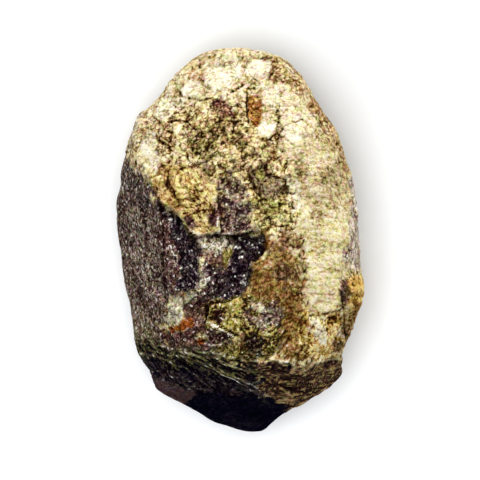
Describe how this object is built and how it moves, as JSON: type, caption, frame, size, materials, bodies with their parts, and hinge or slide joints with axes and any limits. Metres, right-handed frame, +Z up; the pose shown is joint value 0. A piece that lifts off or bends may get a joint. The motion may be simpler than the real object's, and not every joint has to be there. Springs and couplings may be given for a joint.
{
  "type": "raw anglesite specimen",
  "caption": "Rough lump of anglesite with a pale knobbly crust broken open over a dark heart, lying on a flat break.",
  "frame": {"origin": "centre of the bounding box in plan, at the level of the flat break that the stone lies on", "axes": "+Y along the stone's length towards its rounded pale end, +X across it towards its pale side, +Z up out of the crust side"},
  "size_m": [0.0354, 0.055, 0.0245],
  "materials": {
    "anglesite": "matte"
  },
  "bodies": {
    "root": {"anglesite_stone": "anglesite"}
  },
  "joints": []
}
